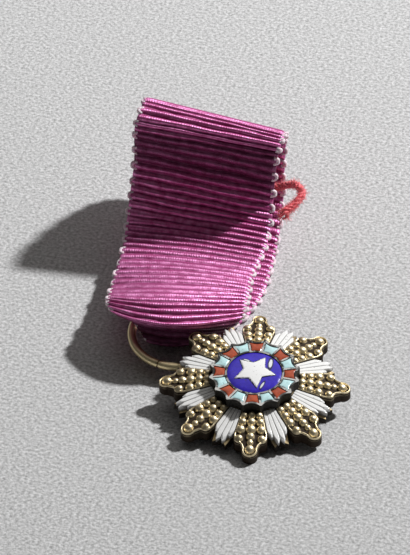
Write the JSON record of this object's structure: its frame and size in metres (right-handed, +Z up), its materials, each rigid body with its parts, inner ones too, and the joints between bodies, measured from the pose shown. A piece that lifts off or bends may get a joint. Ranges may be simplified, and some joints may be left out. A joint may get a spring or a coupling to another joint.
{
  "type": "miniature medal",
  "caption": "Small rayed star with enamels, hung by a jump ring from a folded loop of ribbed ribbon, lying on a table.",
  "frame": {"origin": "centre of the bounding box's underside, on the table the medal lies on", "axes": "+X along the ribbon's top fold, to the right as the badge is looked at; +Y from the badge to the ribbon's fold; +Z up"},
  "size_m": [0.0302, 0.0466, 0.0168],
  "materials": {
    "ribbon_silk": "ribbed woven silk, plum pink",
    "thread_cotton": "matt twisted thread",
    "ring_gilt": "worn gilt",
    "star_gilt": "worn gilt, dark in the recesses",
    "white_enamel": "glossy enamel",
    "medallion_metal": "polished silver, tarnished in the recesses",
    "red_enamel": "glossy enamel",
    "turquoise_enamel": "glossy enamel",
    "blue_enamel": "glossy enamel"
  },
  "bodies": {
    "root": {"ribbon": "ribbon_silk", "thread_end": "thread_cotton", "suspension_ring": "ring_gilt", "star_plate": "star_gilt", "enamel_ray_1": "white_enamel", "enamel_ray_2": "white_enamel", "enamel_ray_3": "white_enamel", "enamel_ray_4": "white_enamel", "enamel_ray_5": "white_enamel", "enamel_ray_6": "white_enamel", "enamel_ray_7": "white_enamel", "enamel_ray_8": "white_enamel", "medallion": "medallion_metal", "red_segment_1": "red_enamel", "red_segment_2": "red_enamel", "red_segment_3": "red_enamel", "red_segment_4": "red_enamel", "red_segment_5": "red_enamel", "red_segment_6": "red_enamel", "red_segment_7": "red_enamel", "red_segment_8": "red_enamel", "turquoise_segment_1": "turquoise_enamel", "turquoise_segment_2": "turquoise_enamel", "turquoise_segment_3": "turquoise_enamel", "turquoise_segment_4": "turquoise_enamel", "turquoise_segment_5": "turquoise_enamel", "turquoise_segment_6": "turquoise_enamel", "turquoise_segment_7": "turquoise_enamel", "turquoise_segment_8": "turquoise_enamel", "blue_disc": "blue_enamel", "center_star": "white_enamel"}
  },
  "joints": []
}
